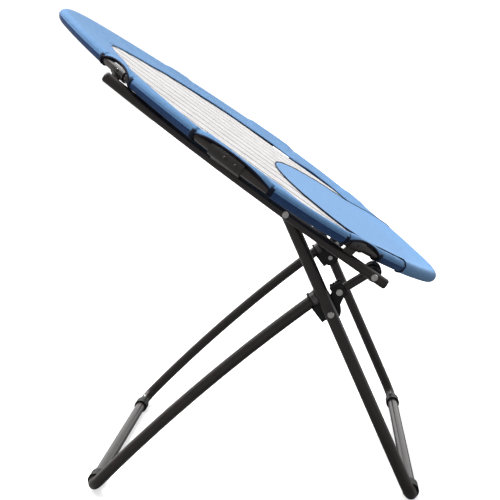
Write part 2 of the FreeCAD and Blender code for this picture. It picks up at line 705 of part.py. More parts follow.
def rail_point(seat_x):
    """The left rail's axis in the ring's frame, at a distance along the seat."""
    inverse = SEAT.inverse()
    low, high = 0.0, RAIL_LENGTH
    for _ in range(40):
        middle = (low + high) / 2
        if inverse.multVec(rail_placement(1, middle).Base).x < seat_x:
            low = middle
        else:
            high = middle
    return inverse.multVec(rail_placement(1, low).Base), low


def stretch(place, start, length, side):
    """A stretch of the outline near a joint: the frame at its first point, and its arcs."""
    sizes = [radius * math.radians(HEADINGS[i] - HEADINGS[i + 1])
             for i, radius in enumerate(RADII)]
    begin = sum(sizes[:place]) + start
    arcs, passed = [], 0.0
    for i, (radius, size) in enumerate(zip(RADII, sizes)):
        first, last = max(begin, passed), min(begin + length, passed + size)
        if last > first:
            arcs.append(("arc", radius, -side * math.degrees((last - first) / radius)))
        if passed <= begin < passed + size:
            runs = half_runs(0, i) + [("arc", radius, -math.degrees((begin - passed) / radius))]
            _, (x, y), heading = walk(runs, 90.0, (-HALF_LENGTH, 0.0))
        passed += size
    frame = SEAT * Placement(Vector(x, side * y, 0), Rotation(Vector(0, 0, 1), side * heading))
    return frame, arcs


def ring_bracket(where, name, side):
    """A sleeve bent to the ring over its joint, welded by a slanted web to the seat rail."""
    place, length, radius, shift, width, web_shift, lean = BRACKETS[where]
    label = f"ring_bracket_{where}_{name}"
    frame, arcs = stretch(place, shift - length / 2, length, side)
    sleeve = bent_rod(f"{label}_sleeve", arcs, f"dims.{radius}", frame)
    frame, arcs = stretch(place, shift - length, 2 * length, side)
    bore = bent_rod(f"{label}_bore", arcs, "dims.ring_diameter / 2 + dims.sleeve_clearance", frame)
    x, y = joint_point(place)
    heading = math.radians(HEADINGS[place])
    start = Vector(x + web_shift * math.cos(heading), side * (y + web_shift * math.sin(heading)), 0)
    rail, along = rail_point(start.x + lean)
    reach = Vector(rail.x, side * rail.y, rail.z) - start
    web = primitive("Box", f"{label}_web",
                    SEAT * Placement(start, Rotation(Vector(1, 0, 0), reach, Vector(), "YXZ"))
                    * Placement(Vector(-width / 2, 0, -dim("web_thickness") / 2), Rotation()),
                    Length=width, Width=reach.Length, Height="dims.web_thickness")
    rail_bore = primitive("Cylinder", f"{label}_rail",
                          rail_placement(side, along)
                          * Placement(Vector(-60, 0, 0), Rotation(Vector(0, 1, 0), 90)),
                          Radius="dims.rail_diameter / 2 + 0.1", Height=120)
    block = fuse(f"{label}_block", [sleeve, web])
    finish(cut(label, block, [bore, rail_bore]), label, Placement())


def ring_rivets():
    """Low round-headed rivets on the outside of the sleeves, as one group."""
    heads = []
    for where, (place, _, radius, *_) in BRACKETS.items():
        for name, side in SIDES.items():
            for number, spot in enumerate(RIVET_SPOTS[where]):
                tag = f"{where}_{name}_{number}"
                frame, _ = stretch(place, spot, 1, side)
                outward = frame * Placement(Vector(), Rotation(Vector(1, 0, 0), -90 * side))
                head = primitive("Cylinder", f"ring_rivet_{tag}",
                                 outward * Placement(Vector(0, 0, dim(radius) - 1), Rotation()),
                                 Radius="dims.ring_rivet_radius", Height=2)
                crown = primitive("Cone", f"ring_rivet_crown_{tag}",
                                  outward * Placement(Vector(0, 0, dim(radius) + 1), Rotation()),
                                  Radius1="dims.ring_rivet_radius",
                                  Radius2="dims.ring_rivet_radius - 1",
                                  Height="dims.ring_rivet_height - 1")
                seat = primitive("Cylinder", f"ring_rivet_seat_{tag}",
                                 frame * Placement(Vector(-10, 0, 0),
                                                   Rotation(Vector(0, 1, 0), 90)),
                                 Radius=f"dims.{radius} + 0.03", Height=20)
                heads.append(cut(f"ring_rivet_head_{tag}",
                                 fuse(f"ring_rivet_body_{tag}", [head, crown]), [seat]))
    finish(fuse("ring_rivets", heads), "ring_rivets", Placement())


# ---------------------------------------------------------------- cover, panel and bands

CUTOUTS = {"top": (TOP_JOINT, 90, 4), "side": (SIDE_JOINT, 150, 9.6),
           "front": (FRONT_JOINT, 100, 25)}  # outline place, length, distance past the joint


def ring_cover():
    """Fabric sleeve round the ring with a flat band inside it, open at the six joints."""
    body = new_body("ring_cover")
    path = new_sketch(body, "ring_cover_path", "XY_Plane")
    runs = half_runs(0, len(RADII))
    path.addGeometry(walk(runs + list(reversed(runs)))[0])
    section = new_sketch(body, "ring_cover_section", "YZ_Plane")
    inner = RING_R + dim("cover_clearance")
    outer = inner + dim("cover_thickness")
    lip = math.radians(-110)
    band, edge = dim("cover_band"), dim("band_edge_height")

    def around(radius, angle):
        return Vector(radius * math.cos(angle), radius * math.sin(angle), 0)

    band_low, band_high = Vector(-band, edge, 0), Vector(-band, edge + dim("cover_thickness"), 0)
    section.addGeometry([
        Part.Arc(around(outer, lip), around(outer, 0), around(outer, math.pi / 2)),
        Part.LineSegment(around(outer, math.pi / 2), band_high),
        Part.LineSegment(band_high, band_low),
        Part.LineSegment(band_low, around(inner, math.pi / 2)),
        Part.Arc(around(inner, math.pi / 2), around(inner, 0), around(inner, lip)),
        Part.LineSegment(around(inner, lip), around(outer, lip)),
    ])
    pipe = body.newObject("PartDesign::AdditivePipe", "ring_cover_pipe")
    pipe.Profile = section
    pipe.Spine = path
    doc.recompute()
    before = body.Shape.Volume
    openings = new_sketch(body, "ring_cover_openings", "XY_Plane")
    local = Placement(Vector(-HALF_LENGTH, 0, 0), Rotation(Vector(0, 0, 1), 90))
    depth = dim("cutout_depth")
    for place, length, past in CUTOUTS.values():
        radius = ((length / 2) ** 2 + depth ** 2) / (2 * depth)
        for side in SIDES.values():
            middle, _ = stretch(place, past, 1, side)
            centre = (SEAT.inverse() * middle).multVec(Vector(0, side * (radius - depth), 0))
            spot = local.inverse().multVec(centre)
            openings.addGeometry(Part.Circle(spot, Vector(0, 0, 1), radius))
    pocket = body.newObject("PartDesign::Pocket", "ring_cover_cutouts")
    pocket.Profile = openings
    pocket.Type = "ThroughAll"
    pocket.SideType = "Two sides"
    pocket.Type2 = "ThroughAll"
    doc.recompute()
    if body.Shape.Volume >= before - 1:
        raise ValueError("ring_cover: the openings cut nothing")
    finish(body, "ring_cover", SEAT * local)


def seat_panel():
    """The round-tipped fabric panel that lies on the bands at the front of the seat."""
    height = dim("band_edge_height")
    inside = Part.Face(oval_wire(dim("cover_band") + 0.5)).extrude(
        Vector(0, 0, dim("panel_thickness")))
    radius = dim("panel_radius")
    disc = Part.makeCylinder(radius, 10, Vector(dim("panel_tip") + radius, 0, -4))
    panel = doc.addObject("Part::Feature", "seat_panel")
    panel.Shape = inside.common(disc).Solids[0]
    finish(panel, "seat_panel", SEAT * Placement(Vector(0, 0, height), Rotation()))


def elastic_bands():
    """Flat woven elastic bands from the top of the ring to its front."""
    half = dim("strap_width") / 2
    inset = dim("strap_inset")
    count = 10
    for number in range(1, count + 1):
        middle = (number - (count + 1) / 2) * dim("strap_pitch")
        edge = abs(middle) + half
        line = Part.makeLine(Vector(-600, edge, 0), Vector(600, edge, 0))
        hits = oval_wire(inset).common(line).Vertexes or line.common(
            Part.Face(oval_wire(inset))).Vertexes
        ends = sorted(vertex.X for vertex in hits)
        name = f"elastic_band_{number:02d}"
        band = primitive("Box", f"{name}_box",
                         SEAT * Placement(Vector(ends[0], middle - half, -dim("strap_drop")),
                                          Rotation()),
                         Length=ends[-1] - ends[0], Width="dims.strap_width",
                         Height="dims.strap_thickness")
        finish(band, name, band.Placement)


# ---------------------------------------------------------------- assembly

front_leg_frame()
front_leg_plugs()
rear_leg_frame()
for side_name, side_sign in SIDES.items():
    floor_glide(f"front_glide_{side_name}", FRONT_FOOT[0], side_sign, FRONT_Y)
    floor_glide(f"rear_glide_{side_name}", REAR_FOOT[0], side_sign, REAR_Y)
    link(side_name, side_sign)
    seat_rail(side_name, side_sign)
    ring_tube(f"ring_upper_{side_name}", TOP_JOINT, SIDE_JOINT, side_sign)
    ring_tube(f"ring_lower_{side_name}", SIDE_JOINT, FRONT_JOINT, side_sign)
    for bracket_place in BRACKETS:
        ring_bracket(bracket_place, side_name, side_sign)
hinge_brackets()
release_hooks()
rail_end_plugs()
ring_arc("ring_top_arc", 0, TOP_JOINT)
ring_arc("ring_front_arc", FRONT_JOINT, len(RADII))
ring_rivets()
ring_cover()
seat_panel()
elastic_bands()
rivet_pair("seat_pivot_rivets", PIVOT, FRONT_Y - LEG_R, RAIL_Y + RAIL_R)
washer_pair("seat_pivot_washers", PIVOT, FRONT_Y + LEG_R, RAIL_Y - RAIL_R)
rivet_pair("knee_rivets", KNEE, REAR_Y - dim("knee_half_width"), FRONT_Y + LEG_R)
washer_pair("knee_washers", KNEE, REAR_Y + dim("knee_half_width"), FRONT_Y - LEG_R)
rivet_pair("link_top_rivets", LINK_TOP, REAR_Y - dim("knee_half_width"), RAIL_Y + RAIL_R)
rivet_pair("link_release_pins", RELEASE, REAR_Y - dim("knee_half_width"),
           REAR_Y + dim("knee_half_width"), dim("pin_head_height"))

# ---------------------------------------------------------------- checks and files

doc.recompute()
failed = [o.Name for o in doc.Objects if {"Invalid", "Error"} & set(o.State)]
if failed:
    raise ValueError(f"objects that did not recompute: {failed}")
os.makedirs("parts", exist_ok=True)
for part in parts:
    if part.Shape.isNull() or not part.Shape.isValid():
        raise ValueError(f"{part.Label} has no valid shape")
    part.Shape.exportStep(f"parts/{part.Label}.step")
print(len(parts), "sub-parts; knee", KNEE, "link top", LINK_TOP, "radii", RADII)
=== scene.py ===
import json
import math

import bpy
import numpy as np
from mathutils import Matrix, Vector


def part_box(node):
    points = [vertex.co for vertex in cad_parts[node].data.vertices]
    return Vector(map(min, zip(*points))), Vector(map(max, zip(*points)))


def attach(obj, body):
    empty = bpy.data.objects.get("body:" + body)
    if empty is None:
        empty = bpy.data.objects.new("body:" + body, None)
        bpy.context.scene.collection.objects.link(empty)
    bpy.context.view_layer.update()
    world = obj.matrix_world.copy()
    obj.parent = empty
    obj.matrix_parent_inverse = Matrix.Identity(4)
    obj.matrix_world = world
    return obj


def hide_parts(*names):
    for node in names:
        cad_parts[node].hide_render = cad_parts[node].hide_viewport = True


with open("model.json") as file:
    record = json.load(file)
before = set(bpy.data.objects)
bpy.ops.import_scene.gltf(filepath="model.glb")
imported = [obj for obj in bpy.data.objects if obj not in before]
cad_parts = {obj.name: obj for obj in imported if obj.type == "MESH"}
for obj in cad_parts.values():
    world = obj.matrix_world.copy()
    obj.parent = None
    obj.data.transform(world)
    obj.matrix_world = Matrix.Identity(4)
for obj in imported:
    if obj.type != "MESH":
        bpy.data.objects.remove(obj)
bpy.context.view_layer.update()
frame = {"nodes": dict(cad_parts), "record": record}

MM = 0.001

# ------------------------------------------------------------------ the ring, from the frame

# The tube ring's half outline, from the top round to the front: radius in millimetres and
# heading in degrees where it starts. The two radii left free close it on the middle line.
HEADINGS = [90.0, 52.7, 36.2, 15.1, 13.2, -41.4, -63.5, -90.0]
KNOWN_RADII = {0: 162.0, 1: 791.0, 2: 701.0, 6: 150.0}
JOINT_PLACES = {"top": 2, "side": 4, "front": 5}
TUBE_R = 9.0

# The cover's cut-outs, open to the outside and below: half length, how far up the outer face
# the cloth still comes (degrees from straight outwards), distance past the joint, and the
# radius of the sleeve that the cloth passes over there.
CUTOUTS = {"top": (41.0, 62.0, 4.0, 11.5), "side": (72.0, 54.0, 9.6, 12.8),
           "front": (43.0, 58.0, 28.0, 11.5)}
CUT_END_ANGLE = 8.0  # how far up it comes at the ends of a cut-out


def ring_placement():
    """The ring's centre, its tilt and its length, from the boxes of its end tubes."""
    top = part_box("ring_top_arc")
    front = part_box("ring_front_arc")
    across = front[1].x - top[0].x - 2 * TUBE_R * MM
    rise = top[1].z - front[0].z - 2 * TUBE_R * MM
    centre = Vector(((front[1].x + top[0].x) / 2, 0, (top[1].z + front[0].z) / 2))
    return centre, math.atan2(rise, across), math.hypot(across, rise) / MM


CENTRE, TILT, LENGTH = ring_placement()
ALONG = Vector((math.cos(TILT), 0, -math.sin(TILT)))  # towards the sitter's feet
UP = Vector((math.sin(TILT), 0, math.cos(TILT)))  # out of the seat


def seat(s, w, n):
    """A point of the seat: s towards the feet, w to the left, n out of the seat, in mm."""
    return CENTRE + (ALONG * s + UP * n) * MM + Vector((0, w * MM, 0))


def seat_array(s, w, n):
    """The same for arrays."""
    points = np.outer(s, ALONG) + np.outer(n, UP)
    points[:, 1] += w
    return points * MM + np.array(CENTRE)


def half_radii():
    """All seven radii of the half outline."""
    def share(first, last):
        a, b = math.radians(HEADINGS[first]), math.radians(HEADINGS[last])
        return np.array([math.sin(a) - math.sin(b), math.cos(b) - math.cos(a)])

    rest = np.array([LENGTH, 0.0])
    for place, radius in KNOWN_RADII.items():
        rest -= radius * share(place, place + 1)
    side, flank = np.linalg.solve(np.array([share(3, 5), share(5, 6)]).T, rest)
    return [KNOWN_RADII[0], KNOWN_RADII[1], KNOWN_RADII[2], side, side, flank, KNOWN_RADII[6]]


RADII = half_radii()


class Outline:
    """The ring's centre line, sampled evenly all round, anticlockwise from above."""

    def __init__(self, count=960):
        lengths = [r * math.radians(a - b) for r, a, b in zip(RADII, HEADINGS, HEADINGS[1:])]
        starts = np.concatenate([[0], np.cumsum(lengths)])
        self.half = starts[-1]
        self.round = 2 * self.half
        corner = [(-LENGTH / 2, 0.0)]
        for radius, a, b in zip(RADII, HEADINGS, HEADINGS[1:]):
            a, b = math.radians(a), math.radians(b)
            s, w = corner[-1]
            corner.append((s + radius * (math.sin(a) - math.sin(b)),
                           w + radius * (math.cos(b) - math.cos(a))))
        self.cutouts = {name: starts[place] + CUTOUTS[name][2]
                        for name, place in JOINT_PLACES.items()}
        self.length = np.arange(count) * self.round / count
        points = []
        for length in self.length:
            mirror = length > self.half
            along = self.round - length if mirror else length
            piece = min(int(np.searchsorted(starts, along, "right")) - 1, len(RADII) - 1)
            radius, first = RADII[piece], math.radians(HEADINGS[piece])
            heading = first - (along - starts[piece]) / radius
            s = corner[piece][0] + radius * (math.sin(first) - math.sin(heading))
            w = corner[piece][1] + radius * (math.cos(heading) - math.cos(first))
            points.append((s, -w if mirror else w, -math.sin(heading),
                           -math.cos(heading) if mirror else math.cos(heading)))
        points = np.array(points)
        self.s, self.w, self.out_s, self.out_w = points.T

    def nearest_cutout(self, length):
        """The cut-out nearest to a place on the outline, and the way to it from its middle."""
        along = self.round - length if length > self.half else length
        name = min(self.cutouts, key=lambda cutout: abs(self.cutouts[cutout] - along))
        return name, along - self.cutouts[name]

    def depth(self, s, w):
        """How far inside the centre line points lie."""
        gaps = np.hypot(s[:, None] - self.s[None], w[:, None] - self.w[None])
        near = gaps.argmin(axis=1)
        out = (s - self.s[near]) * self.out_s[near] + (w - self.w[near]) * self.out_w[near]
        return -out


OUTLINE = Outline()


def smooth(x, low, high):
    """0 below low, 1 above high, eased between them."""
    t = np.clip((x - low) / (high - low), 0, 1)
    return t * t * (3 - 2 * t)


# ------------------------------------------------------------------ cover dimensions, mm

SLEEVE_R = 11.2  # the sleeve's outer face round the tube
SEAM = (-20.0, -4.5)  # under the band, where the sleeve is sewn shut: outward, up
EDGE_HEIGHT = 1.8  # the band's inner edge above the ring's middle plane
SAG = 0.8  # the band hangs a little between its edges
CUT_RAMP = 7.0  # how quickly the sleeve's end turns round the tube
FLAT_POINTS, WRAP_POINTS = 30, 40  # of the cloth's cross-section, before and round the tube

# The band's width inside the centre line at places along the seat: the bands pull its inner
# edge into shallow scallops between the ring's corners.
BAND_WIDTHS = [(-439, 103), (-345, 88), (-285, 70), (-140, 64), (0, 84), (95, 104), (180, 60),
               (240, 48), (439, 48)]


def band_width(length):
    """The band's width, eased from one of its places to the next."""
    s = np.interp(length, np.append(OUTLINE.length, OUTLINE.round),
                  np.append(OUTLINE.s, OUTLINE.s[0]))
    width = np.full_like(np.asarray(s, float), BAND_WIDTHS[0][1])
    for (low, first), (high, last) in zip(BAND_WIDTHS, BAND_WIDTHS[1:]):
        width = width + (last - first) * smooth(s, low, high)
    return width


def seam_angle(s):
    """The seam between the top cloth and the darker side cloth below it, whose darkness is partly
    painted shade, in degrees from straight outwards.
    """
    return -6 + 14 * smooth(s, -250, 150)


def cut_angle(length):
    """How far up the outer face the cloth comes at a place, and how much it is cut there."""
    name, along = OUTLINE.nearest_cutout(length)
    half, angle, _, _ = CUTOUTS[name]
    near_end = min(abs(along) / half, 1.0) ** 2
    return (angle + (CUT_END_ANGLE - angle) * near_end,
            1 - float(smooth(abs(along), half, half + CUT_RAMP)))


def sleeve_radius(length):
    """The cloth's outer face round the tube, or round the bracket where it passes over one."""
    name, along = OUTLINE.nearest_cutout(length)
    half, _, _, bracket = CUTOUTS[name]
    over = 1 - float(smooth(abs(along), half - 22, half))
    return SLEEVE_R + (bracket + 1.8 - SLEEVE_R) * over


def profile(length, lift=0.0):
    """The cloth's cross-section as (outward, up) points, from the inner edge to under the tube."""
    band = float(band_width(length))
    radius = sleeve_radius(length) + lift
    edge = np.array([-band, EDGE_HEIGHT + lift])
    distance = float(np.hypot(*edge))
    first = math.atan2(edge[1], edge[0]) - math.acos(radius / distance)
    seam = np.array([SEAM[0], SEAM[1] - lift])
    last = (math.atan2(seam[1], seam[0]) - 2 * math.pi * (seam[1] > 0)
            + math.acos(radius / float(np.hypot(*seam))))
    touch = radius * np.array([math.cos(first), math.sin(first)])
    t = np.linspace(0, 1, FLAT_POINTS)[:, None]
    flat = edge + (touch - edge) * t
    flat[:, 1] -= SAG * np.sin(np.pi * t[:, 0])
    angles = np.linspace(first, last, WRAP_POINTS)
    wrap = radius * np.stack([np.cos(angles), np.sin(angles)], axis=1)
    under = wrap[-1] + (seam - wrap[-1]) * np.linspace(0, 1, 8)[:, None]
    return np.concatenate([flat, wrap[1:], under[1:]])


def lengths_along(points):
    """How far along a polyline each of its points lies."""
    return np.concatenate([[0], np.cumsum(np.hypot(*np.diff(points, axis=0).T))])


def resample(points, at):
    """Points of a polyline at given distances from its start."""
    along = lengths_along(points)
    return np.stack([np.interp(at, along, points[:, i]) for i in (0, 1)], axis=1)


def place_at(points, degrees):
    """How far along its cross-section the cloth passes a direction out of the tube."""
    round_tube = slice(FLAT_POINTS, FLAT_POINTS + WRAP_POINTS - 1)
    angles = np.degrees(np.arctan2(points[round_tube, 1], points[round_tube, 0]))
    return float(np.interp(-degrees, -angles, lengths_along(points)[round_tube]))


def cloth_end(length, points):
    """How far along its cross-section the cloth reaches at a place on the outline."""
    whole = lengths_along(points)[-1]
    up_to, cut = cut_angle(length)
    return whole + (place_at(points, up_to) - whole) * cut


STRAP_WIDTH, STRAP_PITCH, STRAP_COUNT = 50.0, 57.0, 10

# ------------------------------------------------------------------ meshes

def mesh_object(name, vertices, faces, uvs=None, smooth_faces=True):
    """A mesh object from points in the row frame; uvs are one pair per vertex, in metres."""
    mesh = bpy.data.meshes.new(name)
    mesh.from_pydata([tuple(v) for v in vertices], [], faces)
    if uvs is not None:
        layer = mesh.uv_layers.new(name="cloth")
        corners = np.zeros(len(mesh.loops), np.int32)
        mesh.loops.foreach_get("vertex_index", corners)
        layer.data.foreach_set("uv", np.asarray(uvs, np.float32)[corners].ravel())
    mesh.polygons.foreach_set("use_smooth", [smooth_faces] * len(mesh.polygons))
    mesh.validate()
    made = bpy.data.objects.new(name, mesh)
    bpy.context.scene.collection.objects.link(made)
    return made


def grid_faces(rows, columns, closed=False):
    """Quads of a grid; closed joins the last row to the first."""
    faces = []
    for i in range(rows if closed else rows - 1):
        j = (i + 1) % rows
        for k in range(columns - 1):
            faces.append((i * columns + k, i * columns + k + 1,
                          j * columns + k + 1, j * columns + k))
    return faces


def solidify(piece, thickness):
    """Gives a sheet its thickness, under its outer face."""
    thick = piece.modifiers.new("thickness", "SOLIDIFY")
    thick.thickness = thickness
    thick.offset = -1


def tube_along(points, radius, sides=8, ups=None, flat=1.0):
    """A thin rod or, with flat below 1, a ribbon along points, closed at both ends."""
    points = np.asarray(points, float)
    count = len(points)
    tangent = np.gradient(points, axis=0)
    tangent /= np.linalg.norm(tangent, axis=1)[:, None]
    up = np.tile(np.array(UP), (count, 1)) if ups is None else np.asarray(ups, float)
    side = np.cross(tangent, up)
    side /= np.linalg.norm(side, axis=1)[:, None]
    up = np.cross(side, tangent)
    angles = np.arange(sides) * 2 * math.pi / sides
    ring = (side[:, None] * np.cos(angles)[None, :, None]
            + up[:, None] * (flat * np.sin(angles))[None, :, None])
    vertices = (points[:, None] + ring * radius).reshape(-1, 3)
    faces = []
    for i in range(count - 1):
        for k in range(sides):
            m = (k + 1) % sides
            faces.append((i * sides + k, (i + 1) * sides + k,
                          (i + 1) * sides + m, i * sides + m))
    faces.append(tuple(range(sides)))
    faces.append(tuple(reversed(range((count - 1) * sides, count * sides))))
    return vertices, faces


def joined(name, parts):
    """One mesh object from several (vertices, faces) pairs."""
    vertices, faces = [], []
    for points, polygons in parts:
        base = len(vertices)
        vertices += [tuple(p) for p in points]
        faces += [tuple(i + base for i in polygon) for polygon in polygons]
    return mesh_object(name, vertices, faces)


def stitch_row(points, ups, pitch=3.6, length=2.4, radius=0.32):
    """Separate thread stitches lying along a line of points; sizes in mm."""
    points = np.asarray(points, float)
    steps = np.linalg.norm(np.diff(points, axis=0), axis=1)
    along = np.concatenate([[0], np.cumsum(steps)]) / MM
    parts = []
    for start in np.arange(0, along[-1] - length, pitch):
        at = start + length * np.linspace(0, 1, 4)
        line = np.stack([np.interp(at, along, points[:, i]) for i in range(3)], axis=1)
        up = np.stack([np.interp(at, along, np.asarray(ups)[:, i]) for i in range(3)], axis=1)
        line += up * (np.array([-0.25, 0.2, 0.2, -0.25]) * radius * MM * 2)[:, None]
        parts.append(tube_along(line, radius * MM, sides=5, ups=up))
    return parts


# ------------------------------------------------------------------ materials

def new_material(name):
    material = bpy.data.materials.new(name)
    material.use_nodes = True
    nodes = material.node_tree.nodes
    return material, nodes, material.node_tree.links, nodes["Principled BSDF"]


def noise(nodes, links, coordinates, scale, detail=4.0, roughness=0.6):
    texture = nodes.new("ShaderNodeTexNoise")
    texture.inputs["Scale"].default_value = scale
    texture.inputs["Detail"].default_value = detail
    texture.inputs["Roughness"].default_value = roughness
    links.new(coordinates, texture.inputs["Vector"])
    return texture


def ramp(nodes, links, value, stops):
    """A colour ramp: stops are (position, colour)."""
    made = nodes.new("ShaderNodeValToRGB")
    while len(made.color_ramp.elements) < len(stops):
        made.color_ramp.elements.new(0.5)
    for element, (position, colour) in zip(made.color_ramp.elements, stops):
        element.position = position
        element.color = (*colour, 1)
    links.new(value, made.inputs["Fac"])
    return made


def bump(nodes, links, height, strength, distance, normal=None):
    made = nodes.new("ShaderNodeBump")
    made.inputs["Strength"].default_value = strength
    made.inputs["Distance"].default_value = distance
    links.new(height, made.inputs["Height"])
    if normal is not None:
        links.new(normal, made.inputs["Normal"])
    return made


def math_node(nodes, links, operation, first, second=None):
    made = nodes.new("ShaderNodeMath")
    made.operation = operation
    for socket, value in zip(made.inputs, (first, second)):
        if value is None:
            continue
        if isinstance(value, (int, float)):
            socket.default_value = value
        else:
            links.new(value, socket)
    return made.outputs[0]


def powder_coat(name, colour, worn):
    """Satin powder coat: fine orange peel and faint mottling towards a lighter, worn-looking tone.
    """
    material, nodes, links, shader = new_material(name)
    place = nodes.new("ShaderNodeTexCoord").outputs["Object"]
    mottle = noise(nodes, links, place, 60, 3)
    peel = noise(nodes, links, place, 900, 2)
    colours = ramp(nodes, links, mottle.outputs["Fac"], [(0.3, colour), (0.75, worn)])
    links.new(colours.outputs["Color"], shader.inputs["Base Color"])
    gloss = nodes.new("ShaderNodeMapRange")
    gloss.inputs["To Min"].default_value = 0.24
    gloss.inputs["To Max"].default_value = 0.36
    links.new(mottle.outputs["Fac"], gloss.inputs["Value"])
    links.new(gloss.outputs["Result"], shader.inputs["Roughness"])
    links.new(bump(nodes, links, peel.outputs["Fac"], 0.25, 0.00012).outputs["Normal"],
              shader.inputs["Normal"])
    shader.inputs["Coat Weight"].default_value = 0.6
    shader.inputs["Coat Roughness"].default_value = 0.12
    return material


def moulded_plastic(name, colour, lighter):
    """Moulded plastic with a fine spark-eroded grain."""
    material, nodes, links, shader = new_material(name)
    place = nodes.new("ShaderNodeTexCoord").outputs["Object"]
    grain = noise(nodes, links, place, 1500, 2)
    cloud = noise(nodes, links, place, 45, 3)
    colours = ramp(nodes, links, cloud.outputs["Fac"], [(0.35, colour), (0.7, lighter)])
    links.new(colours.outputs["Color"], shader.inputs["Base Color"])
    shader.inputs["Roughness"].default_value = 0.5
    links.new(bump(nodes, links, grain.outputs["Fac"], 0.4, 0.0001).outputs["Normal"],
              shader.inputs["Normal"])
    return material


def plated_steel(name, dull, bright):
    """Zinc-plated steel with fine scratches."""
    material, nodes, links, shader = new_material(name)
    place = nodes.new("ShaderNodeTexCoord").outputs["Object"]
    scratch = noise(nodes, links, place, 1200, 6, 0.7)
    cloud = noise(nodes, links, place, 200, 3)
    colours = ramp(nodes, links, cloud.outputs["Fac"],
                   [(0.3, dull), (0.7, bright)])
    links.new(colours.outputs["Color"], shader.inputs["Base Color"])
    shader.inputs["Metallic"].default_value = 1.0
    shader.inputs["Roughness"].default_value = 0.28
    links.new(bump(nodes, links, scratch.outputs["Fac"], 0.2, 0.00006).outputs["Normal"],
              shader.inputs["Normal"])
    return material


def weave_height(nodes, links, uv, pitch):
    """Plain weave: two sets of threads that pass over and under each other."""
    split = nodes.new("ShaderNodeSeparateXYZ")
    links.new(uv, split.inputs[0])
    turn = 2 * math.pi / pitch
    waves = []
    for axis in ("X", "Y"):
        phase = math_node(nodes, links, "MULTIPLY", split.outputs[axis], turn)
        half = math_node(nodes, links, "MULTIPLY", phase, 0.5)
        waves.append((math_node(nodes, links, "SINE", phase),
                      math_node(nodes, links, "SINE", half)))
    over = math_node(nodes, links, "MULTIPLY", waves[0][1], waves[1][1])
    sheer = math_node(nodes, links, "MULTIPLY", waves[0][0], waves[1][0])
    return math_node(nodes, links, "ADD", over, math_node(nodes, links, "MULTIPLY", sheer, 0.5))


def woven_cloth(name, dark, light, pitch=0.0011, sheen=0.12):
    """Coarse woven polyester: thread relief, slubs, and soft lighter wear."""
    material, nodes, links, shader = new_material(name)
    coordinates = nodes.new("ShaderNodeTexCoord")
    uv, place = coordinates.outputs["UV"], coordinates.outputs["Object"]
    height = weave_height(nodes, links, uv, pitch)
    slubs = nodes.new("ShaderNodeMapping")
    slubs.inputs["Scale"].default_value = (1.0, 6.0, 1.0)
    links.new(uv, slubs.inputs["Vector"])
    streaks = noise(nodes, links, slubs.outputs["Vector"], 260, 4, 0.65)
    cloud = noise(nodes, links, place, 90, 4, 0.7)
    mixed = math_node(nodes, links, "ADD",
                      math_node(nodes, links, "MULTIPLY", streaks.outputs["Fac"], 0.45),
                      math_node(nodes, links, "MULTIPLY", cloud.outputs["Fac"], 0.55))
    thread = math_node(nodes, links, "ADD", mixed,
                       math_node(nodes, links, "MULTIPLY", height, 0.07))
    colours = ramp(nodes, links, thread, [(0.33, dark), (0.66, light)])
    links.new(colours.outputs["Color"], shader.inputs["Base Color"])
    first = bump(nodes, links, height, 0.35, 0.00018)
    second = bump(nodes, links, streaks.outputs["Fac"], 0.25, 0.0003, first.outputs["Normal"])
    links.new(second.outputs["Normal"], shader.inputs["Normal"])
    shader.inputs["Roughness"].default_value = 0.82
    shader.inputs["Sheen Weight"].default_value = sheen
    shader.inputs["Sheen Roughness"].default_value = 0.4
    shader.inputs["Specular IOR Level"].default_value = 0.25
    return material


def ribbed_elastic(name):
    """White knitted elastic: ribs along it, fine stitches across, and painted shade darkening its
    edges next to the gaps between bands.
    """
    material, nodes, links, shader = new_material(name)
    coordinates = nodes.new("ShaderNodeTexCoord")
    split = nodes.new("ShaderNodeSeparateXYZ")
    links.new(coordinates.outputs["UV"], split.inputs[0])
    across = math_node(nodes, links, "SINE",
                       math_node(nodes, links, "MULTIPLY", split.outputs["X"],
                                 2 * math.pi / 0.0014))
    along = math_node(nodes, links, "SINE",
                      math_node(nodes, links, "MULTIPLY", split.outputs["Y"],
                                2 * math.pi / 0.0012))
    knit = math_node(nodes, links, "MULTIPLY", across, along)
    cloud = noise(nodes, links, coordinates.outputs["Object"], 25, 4)
    shade = math_node(nodes, links, "ADD", cloud.outputs["Fac"],
                      math_node(nodes, links, "MULTIPLY", across, 0.08))
    colours = ramp(nodes, links, shade, [(0.3, (0.74, 0.71, 0.71)), (0.65, (0.88, 0.865, 0.86))])
    # Painted shade: each band turns grey at its edges, where the gaps between the bands lie in
    # shadow.
    step = math_node(nodes, links, "FRACT", math_node(
        nodes, links, "ADD", math_node(nodes, links, "MULTIPLY", split.outputs["X"],
                                       1000 / STRAP_PITCH), 100.5))
    from_gap = math_node(nodes, links, "ABSOLUTE",
                         math_node(nodes, links, "SUBTRACT", step, 0.5))
    edge = (STRAP_PITCH - STRAP_WIDTH) / 2 / STRAP_PITCH
    gap_shade = ramp(nodes, links, from_gap,
                   [(edge, (0.30, 0.26, 0.26)), (edge + 0.035, (1.0, 1.0, 1.0))])
    shaded = nodes.new("ShaderNodeMix")
    shaded.data_type, shaded.blend_type = "RGBA", "MULTIPLY"
    shaded.inputs["Factor"].default_value = 1.0
    links.new(colours.outputs["Color"], shaded.inputs["A"])
    links.new(gap_shade.outputs["Color"], shaded.inputs["B"])
    links.new(shaded.outputs["Result"], shader.inputs["Base Color"])
    links.new(bump(nodes, links, knit, 0.4, 0.00012).outputs["Normal"], shader.inputs["Normal"])
    shader.inputs["Roughness"].default_value = 0.8
    shader.inputs["Sheen Weight"].default_value = 0.2
    shader.inputs["Specular IOR Level"].default_value = 0.25
    return material


